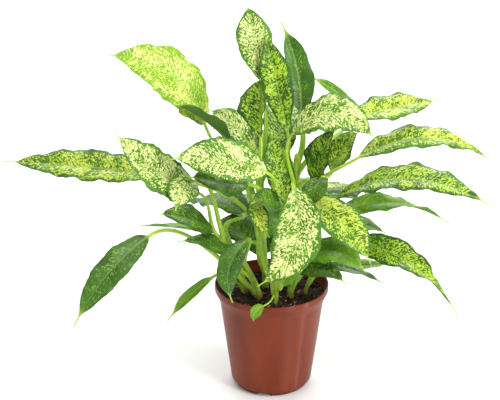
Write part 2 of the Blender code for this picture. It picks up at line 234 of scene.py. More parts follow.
# ---- finishes --------------------------------------------------------------------------------
@dataclass(frozen=True)
class LeafSkin:
    """Living leaf: a waxy upper skin over green tissue that has lost its green in flecks.

    The wax gives a soft broad shine. The flecks follow the side veins, gather round the midrib
    and leave a plain green margin. The underside is duller and has no flecks.
    """
    name: str
    ground: str                   # green between the flecks
    dark: str                     # the same green where the tissue is densest
    mottle: str                   # lime tissue
    fleck: str                    # tissue with no green left
    mottle_cover: float           # share of the middle of the blade that is lime
    fleck_cover: float            # share that is pale
    under: str = "#588624"        # underside
    rib: str = "#9FBC4A"          # midrib
    rib_show: float = 0.6         # how much of the midrib's own colour shows
    stalk: str = "#A0C838"
    wax: float = 0.04             # strength of the glaze that the wax adds
    wax_roughness: float = 0.4
    cell_mm: float = 2.05         # width of one fleck
    stretch: float = 0.88         # narrows the pattern's step along a side vein, so flecks lengthen
    cluster_mm: float = 15.0      # distance between thick patches of flecks
    patchiness: float = 0.35      # how much those patches stand out
    margin: tuple[float, float] = (0.7, 1.0)   # shares of the half-width where flecks thin out
    margin_green: float = 0.22    # how strongly they do
    vein_mm: float = 6.5          # distance between side veins
    vein_slant: float = 0.62      # how far a side vein runs towards the tip for each mm outwards
    vein_show: float = 0.06       # how much paler the side veins are than the blade
    stalk_streak: str = "#D9E58E"
    tip_green: tuple[float, float] = (0.78, 0.16)   # share of the length where flecks thin out, and how much
    noise_reach: float = 0.4      # how far a threshold moves for the whole range of covers
    fleck_edge: tuple[float, float] = (0.012, 0.014)   # half-softness of a lime and of a pale fleck
    drift_scale: float = 0.045    # of the slow change between the two greens
    rib_mm: tuple[float, float] = (1.9, 0.35)   # half-width of the midrib at the base and near the tip

    def flecks(self, tree: bpy.types.NodeTree, place: Source, grid: Source,
               part: bpy.types.Node) -> bpy.types.Node:
        """Return the colour of the flecked upper skin without its veins.

        Args:
            tree: the node tree.
            place: millimetres across and along the leaf.
            grid: the same, slanted with the side veins.
            part: shares of the half-width and of the length.

        Returns:
            The node that gives the colour.
        """
        cells = noise(tree, grid, 1 / self.cell_mm, Roughness=0.6, Distortion=0.6)
        patches = noise(tree, grid, 1 / self.cluster_mm, 1.0)
        margin = ramp(tree, calc(tree, "ABSOLUTE", part.outputs["X"]), *self.margin, 0.0,
                      self.margin_green, "SMOOTHSTEP")
        tip = ramp(tree, part.outputs["Y"], self.tip_green[0], 1.0, 0.0, self.tip_green[1], "SMOOTHSTEP")
        patchy = calc(tree, "MULTIPLY_ADD", patches, self.patchiness, cells)
        amount = calc(tree, "SUBTRACT", patchy, calc(tree, "ADD", margin, tip))
        # a cover of one half puts the threshold at the middle of the two noises together
        middle = 0.5 + 0.5 * self.patchiness
        drift = noise(tree, place, self.drift_scale)
        colour = blend(tree, ramp(tree, drift, 0.35, 0.68), self.ground, self.dark)
        for cover, tint, soft in zip((self.mottle_cover, self.fleck_cover), (self.mottle, self.fleck),
                                     self.fleck_edge):
            start = middle + self.noise_reach * (0.5 - cover)
            colour = blend(tree, ramp(tree, amount, start - soft, start + soft), colour, tint)
        return colour

    def material(self) -> bpy.types.Material:
        """Return the node material."""
        material, tree = new_material(self.name)
        place = add_node(tree, "Attribute", {"attribute_name": "leaf_mm"}).outputs["Vector"]
        share = add_node(tree, "Attribute", {"attribute_name": "leaf_share"}).outputs["Vector"]
        mm = add_node(tree, "SeparateXYZ", {}, {0: place})
        part = add_node(tree, "SeparateXYZ", {}, {0: share})
        out = calc(tree, "ABSOLUTE", mm.outputs["X"])
        row = calc(tree, "SUBTRACT", mm.outputs["Y"], calc(tree, "MULTIPLY", out, self.vein_slant))
        along = calc(tree, "MULTIPLY", mm.outputs["X"], self.stretch)
        grid = add_node(tree, "CombineXYZ", {}, {"X": along, "Y": row, "Z": mm.outputs["Z"]})
        wave = calc(tree, "SINE", calc(tree, "MULTIPLY", row, 2 * pi / self.vein_mm))
        vein = ramp(tree, wave, 0.88, 1.0)
        rib_width = ramp(tree, part.outputs["Y"], 0.0, 0.9, *self.rib_mm)
        rib = ramp(tree, calc(tree, "DIVIDE", out, rib_width), 0.5, 1.0, self.rib_show, 0.0)
        veined = blend(tree, calc(tree, "MULTIPLY", vein, self.vein_show),
                       self.flecks(tree, place, grid, part), self.rib)
        blade = blend(tree, part.outputs["Z"], blend(tree, rib, veined, self.rib),
                      blend(tree, rib, self.under, self.rib))
        stalk = add_node(tree, "Attribute", {"attribute_name": "stalk"})
        streaks = ramp(tree, noise(tree, grid, 0.35, 3.0), 0.5, 0.72, 0.0, 0.5)
        colour = blend(tree, stalk.outputs["Fac"], blade,
                       blend(tree, streaks, self.stalk, self.stalk_streak))
        grain = noise(tree, place, 1.6)
        relief = calc(tree, "MULTIPLY_ADD", vein, -0.8, grain)
        dull = calc(tree, "MULTIPLY_ADD", part.outputs["Z"], 0.2, self.wax_roughness)
        surface(tree, {"IOR": 1.42, "Specular IOR Level": 0.4, "Coat Weight": self.wax,
                       "Coat Roughness": 0.2},
                {"Base Color": colour, "Roughness": calc(tree, "MULTIPLY_ADD", grain, 0.12, dull),
                 "Normal": bump(tree, relief, 0.35, 0.25)})
        return material


class Habit(Enum):
    """How strongly a leaf is variegated, which depends on its age and the light it grew in. One habit is a
    darker, less flecked copy that paints shade into leaves that sit low and deep in the clump.
    """
    CREAM = LeafSkin("leaf_cream_flecked", "#52861E", "#3A6418", "#9CC42C", "#DEE29A", 0.58, 0.48)
    PALE = LeafSkin("leaf_pale_old", "#78A81E", "#62941A", "#A4C42A", "#D8DC84", 0.6, 0.4,
                    stalk="#93B83C", margin_green=0.12)
    LIME = LeafSkin("leaf_lime_mottled", "#4A7A1A", "#325A12", "#9EC22A", "#D0D85C", 0.54, 0.34)
    DEEP = LeafSkin("leaf_deep_mottled", "#3D6A18", "#264A0E", "#9CC428", "#BED048", 0.5, 0.2,
                    rib_show=0.4, under="#436A22")
    # painted shade: darker, duller leaf colours given to leaves that sit in shadow inside the clump
    PAINTED_SHADE = LeafSkin("leaf_painted_shade", "#467218", "#2D500C", "#68941C", "#98B234", 0.38, 0.1,
                     rib="#7A9C38", rib_show=0.4, wax_roughness=0.44, under="#436A22")
    PLAIN = LeafSkin("leaf_plain_young", "#66981C", "#508218", "#80AC26", "#9EB83A", 0.34, 0.05,
                     wax_roughness=0.44, vein_show=0.12)
    GLOSS = LeafSkin("leaf_waxy_dark", "#42701A", "#2E5212", "#5E8C20", "#8CA840", 0.3, 0.06,
                     rib="#7C9C44", rib_show=0.45, wax=0.08, wax_roughness=0.32, under="#486E26")


@dataclass(frozen=True)
class MouldedPolypropylene:
    """Pigmented polypropylene, injection moulded in a polished tool.

    It gives an even brick brown with a satin shine, soft flow marks that run up the wall and
    fine rubbing where pots were stacked.
    """
    brown: str = "#7E3315"
    deep: str = "#6B2810"
    flow_mm: float = 26.0         # distance between flow marks
    rub_mm: float = 1.8           # drawn a little coarser than real rubbing, so that it shows
    roughness: float = 0.3
    drawn: float = 1.0            # how far the polish runs up the wall, which draws lights out tall

    def material(self) -> bpy.types.Material:
        """Return the node material."""
        material, tree = new_material("moulded_polypropylene")
        place = add_node(tree, "TexCoord").outputs["Object"]
        tall = add_node(tree, "Mapping", {"Scale": (1, 1, 0.22)}, {0: place})
        flow = noise(tree, tall, 1 / (self.flow_mm * MM), 3.0)
        rub = noise(tree, place, 1 / (self.rub_mm * MM), 4.0)
        surface(tree, {"IOR": 1.49, "Specular IOR Level": 0.3, "Anisotropic": self.drawn,
                       "Anisotropic Rotation": 0.25},
                {"Base Color": blend(tree, ramp(tree, flow, 0.3, 0.7), self.brown, self.deep),
                 "Roughness": calc(tree, "MULTIPLY_ADD", rub, 0.1, self.roughness),
                 "Normal": bump(tree, rub, 0.02, 0.1),
                 "Tangent": add_node(tree, "Tangent", {"direction_type": "RADIAL", "axis": "Z"})})
        return material


@dataclass(frozen=True)
class DampPeat:
    """Peat-based potting mix, loose and damp: nearly black, with rusty fibres and a few pale grains."""
    peat: str = "#1E120D"
    fibre: str = "#4A2E20"
    grain: str = "#A08A78"
    crumb_mm: float = 2.2

    def material(self) -> bpy.types.Material:
        """Return the node material."""
        material, tree = new_material("damp_peat")
        place = add_node(tree, "TexCoord").outputs["Object"]
        crumbs = add_node(tree, "TexVoronoi", {"Scale": 1 / (self.crumb_mm * MM)}, {"Vector": place})
        fine = noise(tree, place, 2.4 / (self.crumb_mm * MM), 5.0)
        hue = add_node(tree, "SeparateColor", {}, {0: crumbs.outputs["Color"]})
        dark = blend(tree, ramp(tree, hue.outputs[0], 0.45, 0.8), self.peat, self.fibre)
        colour = blend(tree, ramp(tree, hue.outputs[1], 0.95, 0.96), dark, self.grain)
        height = calc(tree, "SUBTRACT", fine, crumbs)
        surface(tree, {"Roughness": 0.82, "Specular IOR Level": 0.35},
                {"Base Color": colour,
                 "Normal": bump(tree, height, 0.9, 0.8)})
        return material


@dataclass(frozen=True)
class CaneSkin:
    """Smooth green skin of a fleshy cane: satin, with paler streaks, brown at the soil and at old leaf scars.
    """
    green: str = "#98C23A"
    pale: str = "#B4CE62"
    scar: str = "#8A7A3C"
    streak_mm: float = 5.0

    def material(self) -> bpy.types.Material:
        """Return the node material."""
        material, tree = new_material("cane_skin")
        place = add_node(tree, "TexCoord").outputs["Object"]
        tall = add_node(tree, "Mapping", {"Scale": (1, 1, 0.25)}, {0: place})
        streak = noise(tree, tall, 1 / (self.streak_mm * MM), 3.0)
        colour = blend(tree, ramp(tree, streak, 0.35, 0.65), self.green, self.pale)
        scar = add_node(tree, "Attribute", {"attribute_name": "scar"})
        surface(tree, {"IOR": 1.42},
                {"Base Color": blend(tree, scar.outputs["Fac"], colour, self.scar),
                 "Roughness": calc(tree, "MULTIPLY_ADD", streak, 0.2, 0.34),
                 "Normal": bump(tree, streak, 0.25, 0.3)})
        return material


@dataclass(frozen=True)
class StudioPaper:
    """Seamless white background paper: flat and very slightly mottled."""
    white: str = "#FBFBFA"
    shade: str = "#F6F6F4"

    def material(self) -> bpy.types.Material:
        """Return the node material."""
        material, tree = new_material("studio_paper")
        mottle = noise(tree, add_node(tree, "TexCoord").outputs["Object"], 9.0)
        surface(tree, {"Roughness": 0.9, "Specular IOR Level": 0.1},
                {"Base Color": blend(tree, mottle, self.white, self.shade)})
        return material


# ---- the nursery pot -------------------------------------------------------------------------
@dataclass
class NurseryPot:
    """The moulded pot, turned from one section and cut by its water ways. Sizes are millimetres."""
    height: float = 116.0
    rim_radius: float = 60.5
    lip_band: float = 7.0
    lip_round: float = 0.9
    shoulder_drop: float = 10.5
    shoulder_radius: float = 55.2
    bead: float = 0.04            # raised line where the shoulder meets the wall
    foot_radius: float = 43.2
    bend: float = 4.0
    foot_height: float = 4.2
    foot_ring: tuple[float, float] = (34.5, 38.5)
    wall: float = 1.4
    boss_radius: float = 8.0
    notches: int = 4
    notch_width: float = 15.0
    notch_turn: float = 257.5     # degrees
    notch_past: float = 2.0       # how far a notch's cutter passes the ring on each side
    drain_holes: int = 6
    drain_radius: float = 4.0
    drain_circle: float = 22.0
    steps: int = 160
    sharp: float = 58.0           # edges that turn more than this many degrees stay crisp

    def arc(self, centre: tuple[float, float], radius: float, start: float, end: float,
            steps: int) -> list[tuple[float, float]]:
        """Return points on an arc of the section between two directions in degrees."""
        turns = [radians(start + (end - start) * i / steps) for i in range(steps + 1)]
        return [(centre[0] + radius * cos(turn), centre[1] + radius * sin(turn)) for turn in turns]

    def wall_inside(self, height: float) -> float:
        """Return the radius of the inner wall at a height."""
        shoulder = self.height - self.lip_band - self.shoulder_drop
        if height > shoulder:
            share = min((height - shoulder) / self.shoulder_drop, 1)
            return self.shoulder_radius - self.wall + (self.rim_radius - self.shoulder_radius) * share
        low = self.foot_height + self.bend
        share = (height - low) / (shoulder - low)
        return self.foot_radius + (self.shoulder_radius - self.foot_radius) * share - self.wall

    def shoulder_line(self) -> list[tuple[float, float]]:
        """Return the soft step and bead at the shoulder, as distances outwards and up from it."""
        return [(1.1, 2.2), (0.5, 1.0), (self.bead, 0.0), (self.bead, -0.7), (-0.1, -1.4), (-0.4, -3.5)]

    def section(self) -> list[tuple[float, float]]:
        """Return the closed section: down the outside, under the foot, and up the inside."""
        low_lip = self.height - self.lip_band
        shoulder = low_lip - self.shoulder_drop
        turn = self.lip_round
        bend = (self.foot_radius - self.bend, self.foot_height + self.bend)
        out = [*self.arc((self.rim_radius - turn, self.height - turn), turn, 90, 0, 5),
               *self.arc((self.rim_radius - turn, low_lip + turn), turn, 0, -62, 4),
               *((self.shoulder_radius + out, shoulder + up) for out, up in self.shoulder_line()),
               *self.arc(bend, self.bend, 4, -90, 9)]
        ring_out, ring_in = self.foot_ring[1], self.foot_ring[0]
        under = [(ring_out + 0.5, self.foot_height), (ring_out, 0.5), (ring_out - 0.5, 0),
                 (ring_in + 0.9, 0), (ring_in + 0.4, 0.5), (ring_in, self.foot_height),
                 (self.boss_radius + 0.6, self.foot_height), (self.boss_radius, 0.4),
                 (self.boss_radius - 0.4, 0), (2.2, 0), (1.8, 0.5)]
        base = self.foot_height + self.wall
        inside = [*self.arc(bend, self.bend - self.wall, -90, 0, 7),
                  (self.shoulder_radius - self.wall, shoulder - 0.5),
                  (self.shoulder_radius - self.wall + 0.3, shoulder + 0.6),
                  (self.rim_radius - self.wall - 0.3, low_lip - 0.4),
                  (self.rim_radius - self.wall, low_lip + 0.8)]
        inner_round = self.arc((self.rim_radius - self.wall + 0.6, self.height - 0.6), 0.6, 180, 90, 3)
        return [*out, *under, (0, 0.5), (0, base), *inside, *inner_round]

    def turned(self) -> tuple[np.ndarray, list[tuple[int, ...]]]:
        """Return the points and faces of the section turned once round the axis."""
        section = self.section()
        axis = [i for i, (radius, _) in enumerate(section) if radius == 0]
        points, faces, number = [], [], {}
        for i, (radius, height) in enumerate(section):
            for step in range(1 if i in axis else self.steps):
                turn = 2 * pi * step / self.steps
                number[i, step] = len(points)
                points.append((radius * cos(turn), radius * sin(turn), height))
        count = len(section)
        for i in range(count):
            j = (i + 1) % count
            if i in axis and j in axis:
                continue
            for step in range(self.steps):
                after = (step + 1) % self.steps
                corners = [number[i, 0 if i in axis else step], number[j, 0 if j in axis else step],
                           number[j, 0 if j in axis else after], number[i, 0 if i in axis else after]]
                faces.append(tuple(dict.fromkeys(corners)))
        return np.array(points), faces

    def water_ways(self) -> bpy.types.Object:
        """Return the cutter for the foot's notches and the drain holes."""
        bm = bmesh.new()
        reach = sum(self.foot_ring) / 2
        deep = self.foot_ring[1] - self.foot_ring[0] + 2 * self.notch_past
        for number in range(self.notches):
            turn = radians(self.notch_turn) + 2 * pi * number / self.notches
            for vert in bmesh.ops.create_cube(bm, size=1.0)["verts"]:
                along, across = vert.co.x * deep + reach, vert.co.y * self.notch_width
                vert.co = Vector((along * cos(turn) - across * sin(turn),
                                  along * sin(turn) + across * cos(turn),
                                  vert.co.z * 2 * (self.foot_height - 0.2))) * MM
        for number in range(self.drain_holes):
            turn = 2 * pi * number / self.drain_holes
            hole = bmesh.ops.create_cone(bm, cap_ends=True, segments=28, radius1=self.drain_radius * MM,
                                         radius2=self.drain_radius * MM, depth=4 * self.wall * MM)["verts"]
            middle = Vector((self.drain_circle * cos(turn), self.drain_circle * sin(turn), self.foot_height))
            bmesh.ops.translate(bm, verts=hole, vec=middle * MM)
        mesh = bpy.data.meshes.new("water_ways")
        bm.to_mesh(mesh)
        bm.free()
        cutter = bpy.data.objects.new("water_ways", mesh)
        bpy.context.scene.collection.objects.link(cutter)
        return cutter

    def build(self) -> bpy.types.Object:
        """Make the pot, cut its water ways and dress it."""
        points, faces = self.turned()
        pot = new_piece("nursery_pot", points, faces, MouldedPolypropylene().material())
        bm = bmesh.new()
        bm.from_mesh(pot.data)
        bmesh.ops.recalc_face_normals(bm, faces=bm.faces)
        bm.to_mesh(pot.data)
        bm.free()
        cutter = self.water_ways()
        cut = pot.modifiers.new("water ways", "BOOLEAN")
        cut.operation, cut.solver, cut.object = "DIFFERENCE", "EXACT", cutter
        bpy.context.view_layer.update()
        cut_mesh = bpy.data.meshes.new_from_object(pot.evaluated_get(bpy.context.evaluated_depsgraph_get()))
        pot.modifiers.clear()
        pot.data = cut_mesh
        bpy.data.objects.remove(cutter, do_unlink=True)
        pot.data.shade_smooth()
        pot.data.set_sharp_from_angle(angle=radians(self.sharp))
        stand_for(pot, "pot")
        return pot


# ---- the potting mix ---------------------------------------------------------------------------
@dataclass
class PottingMix:
    """The plug of damp mix: a crumbly mound on top of a plain body. Sizes are millimetres."""
    pot: NurseryPot
    top: float = 106.0
    crown: float = 2.0
    relief: float = 1.3           # how rough the mound is
    waves: int = 26               # how many waves add up to that roughness
    crumbs: int = 620
    crumb_radius: tuple[float, float] = (0.5, 2.0)
    rings: int = 60
    steps: int = 150
    seed: int = 11

    def mound(self, rng: np.random.Generator) -> tuple[np.ndarray, list[tuple[int, ...]]]:
        """Return the points and faces of the plug, its top roughened."""
        pot = self.pot
        edge = pot.wall_inside(self.top - self.crown) - 0.5
        shoulder = pot.height - pot.lip_band - pot.shoulder_drop
        bend = (pot.foot_radius - pot.bend, pot.foot_height + pot.bend)
        side = [(pot.wall_inside(shoulder) - 0.6, shoulder - 1.0),
                *pot.arc(bend, pot.bend - pot.wall - 0.6, 0, -60, 3),
                (pot.foot_radius - pot.bend - 2, pot.foot_height + pot.wall + 0.3)]
        turns = np.linspace(0, 2 * pi, self.steps, endpoint=False)
        waves = rng.normal(size=(self.waves, 2)) * np.linspace(0.06, 0.9, self.waves)[:, None]
        phases = rng.uniform(0, 2 * pi, self.waves)
        heights = 1 / (1 + np.arange(self.waves)) ** 0.5
        rows = []
        for ring in range(1, self.rings + 1):
            share = ring / self.rings
            x, y = edge * share * np.cos(turns), edge * share * np.sin(turns)
            rough = sum(h * np.sin(w[0] * x + w[1] * y + p) for h, w, p in zip(heights, waves, phases))
            level = self.top + self.crown * (0.5 * cos(pi * share) - 0.5)
            fade = 1 - ease(np.array((share - 0.94) / 0.06))
            grit = rng.uniform(-0.25, 0.25, self.steps)
            rows.append(np.stack([x, y, level - 0.6 + (self.relief * rough / 3.2 + grit) * fade], 1))
        for radius, height in side:
            rows.append(np.stack([radius * np.cos(turns), radius * np.sin(turns), 0 * turns + height], 1))
        points = np.vstack([[[0, 0, self.top]], *rows])
        faces = [(0, 1 + i, 1 + (i + 1) % self.steps) for i in range(self.steps)]
        for r in range(len(rows) - 1):
            first, second = 1 + r * self.steps, 1 + (r + 1) * self.steps
            faces += [(first + i, second + i, second + (i + 1) % self.steps, first + (i + 1) % self.steps)
                      for i in range(self.steps)]
        faces.append(tuple(1 + (len(rows) - 1) * self.steps + i for i in reversed(range(self.steps))))
        return points, faces

    def crumb(self, rng: np.random.Generator, middle: np.ndarray, radius: float,
              first: int) -> tuple[np.ndarray, list[tuple[int, ...]]]:
        """Return one lumpy crumb as points and faces.

        Args:
            rng: the source of its shape.
            middle: where it lies.
            radius: its size.
            first: the number of its first point.

        Returns:
            Points and faces.
        """
        rows, sides = 5, 7
        stretch = rng.uniform(0.6, 1.3, 3)
        points = [np.array([0, 0, -1.0])]
        for row in range(1, rows):
            polar = pi * row / rows
            for side in range(sides):
                turn = 2 * pi * side / sides + row
                lump = rng.uniform(0.8, 1.15)
                points.append(np.array([sin(polar) * cos(turn), sin(polar) * sin(turn), -cos(polar)]) * lump)
        points.append(np.array([0, 0, 1.0]))
        last = first + len(points) - 1
        faces = [(first, first + 1 + (i + 1) % sides, first + 1 + i) for i in range(sides)]
        for row in range(rows - 2):
            low, high = first + 1 + row * sides, first + 1 + (row + 1) * sides
            faces += [(low + i, low + (i + 1) % sides, high + (i + 1) % sides, high + i)
                      for i in range(sides)]
        faces += [(last, last - sides + i, last - sides + (i + 1) % sides) for i in range(sides)]
        return np.array(points) * stretch * radius + middle, faces

    def build(self) -> bpy.types.Object:
        """Make the mix with its crumbs and dress it."""
        rng = np.random.default_rng(self.seed)
        points, faces = self.mound(rng)
        blocks, count = [points], len(points)
        edge = self.pot.wall_inside(self.top) - 3
        for _ in range(self.crumbs):
            reach, turn = edge * rng.uniform() ** 0.5, rng.uniform(0, 2 * pi)
            radius = self.crumb_radius[0] + (self.crumb_radius[1] - self.crumb_radius[0]) * rng.uniform() ** 3
            level = self.top - self.crown * (reach / edge) ** 2 - 0.5
            middle = np.array([reach * cos(turn), reach * sin(turn), level + radius * 0.35])
            block, more = self.crumb(rng, middle, radius, count)
            blocks.append(block)
            faces += more
            count += len(block)
        mix = new_piece("potting_mix", np.vstack(blocks), faces, DampPeat().material())
        stand_for(mix, "soil")
        return mix


# ---- canes and leaves ----------------------------------------------------------------------------
SOIL_TOP = PottingMix.top
AIR = 0.3                         # gap that the solids keep
CANE_BURIED = 30                  # length of a cane under the soil
CANE_STEP = 1.6                   # distance between a cane's rings of points


@dataclass(frozen=True)
class Cane:
    """One stalk. Places are millimetres, heights are above the soil."""
    foot: tuple[float, float]
    top: tuple[float, float]
    height: float
    foot_radius: float = 3.6
    top_radius: float = 2.6

    def point(self, height: float) -> np.ndarray:
        """Return its middle at a height: canes bow outwards as they rise."""
        share = max(height / self.height, 0.0) ** 1.3
        foot, top = np.array(self.foot), np.array(self.top)
        return np.array([*(foot + (top - foot) * share), SOIL_TOP + height])

    def radius(self, height: float) -> float:
        """Return its radius at a height."""
        share = min(max(height / self.height, 0.0), 1.0)
        return self.foot_radius + (self.top_radius - self.foot_radius) * share

    def build(self, name: str, finish: bpy.types.Material, joint_mm: float = 13.0,
              sides: int = 20) -> bpy.types.Object:
        """Make the cane with the swollen rings where leaves once grew, and dress it.

        Args:
            name: which cane this is.
            finish: its skin.
            joint_mm: distance between rings.
            sides: points round it.

        Returns:
            The object.
        """
        heights = np.linspace(-CANE_BURIED, self.height, int((self.height + CANE_BURIED) / CANE_STEP))
        rings, scars = [], []
        for height in heights:
            across = abs((height / joint_mm) % 1 - 0.5) * joint_mm
            ring = max(0.0, 1 - (joint_mm / 2 - across) / 1.5)
            end = 1 - 0.5 * max(0.0, 1 - (self.height - height) / 2.5) ** 2
            radius = self.radius(height) * (1 + 0.09 * ring) * end
            turns = np.linspace(0, 2 * pi, sides, endpoint=False)
            rings.append(self.point(height) + np.stack([radius * np.cos(turns), radius * np.sin(turns),
                                                        0 * turns], 1))
            brown = max(0.55 * ring, 0.95 * (1 - min(max((height - 1) / 9, 0), 1)))
            scars += [brown] * sides
        piece = new_piece("cane_skin_" + name, np.vstack(rings), ring_faces(len(rings), sides), finish)
        mark = piece.data.attributes.new("scar", "FLOAT", "POINT")
        mark.data.foreach_set("value", scars)
        stand_for(piece, "cane_" + name)
        return piece


@dataclass(frozen=True)
class Leaf:
    """One leaf, petiole and blade together.

    joint and tip are (heading in degrees, reach, height above the soil), the reach and the
    height in millimetres. arch lifts the middle of the blade and sway moves it to the leaf's
    right. roll tips the upper face to the leaf's right, twist adds to that towards the tip,
    and fold raises each half of the blade from the midrib.
    """
    cane: str
    foot: float
    joint: tuple[float, float, float]
    tip: tuple[float, float, float]
    width: float
    arch: float = 0.0
    sway: float = 0.0
    roll: float = 0.0
    twist: float = 0.0
    fold: float = 9.0
    stalk: float = 2.0
    reach_up: float = 0.4
    widest: float = 0.42          # share of the blade's length from its base
    habit: Habit = Habit.PAINTED_SHADE
    drip: float = 0.93            # share of the blade's length where its tip becomes a thread
    wave: float = 1.0             # how wavy its margins are


CANES = {
    "left": Cane((-28, 2), (-52, -4), 72),
    "front_left": Cane((-14, -12), (-34, -18), 50, 4.2, 3.2),
    "front": Cane((4, -24), (5, -30), 46, 3.0, 2.4),
    "front_right": Cane((20, -12), (27, -14), 122),
    "back_left": Cane((-6, 10), (-16, 16), 134),
    "back_right": Cane((16, 14), (26, 20), 150),
    "right": Cane((36, -2), (48, 4), 30, 2.2, 1.8),
}

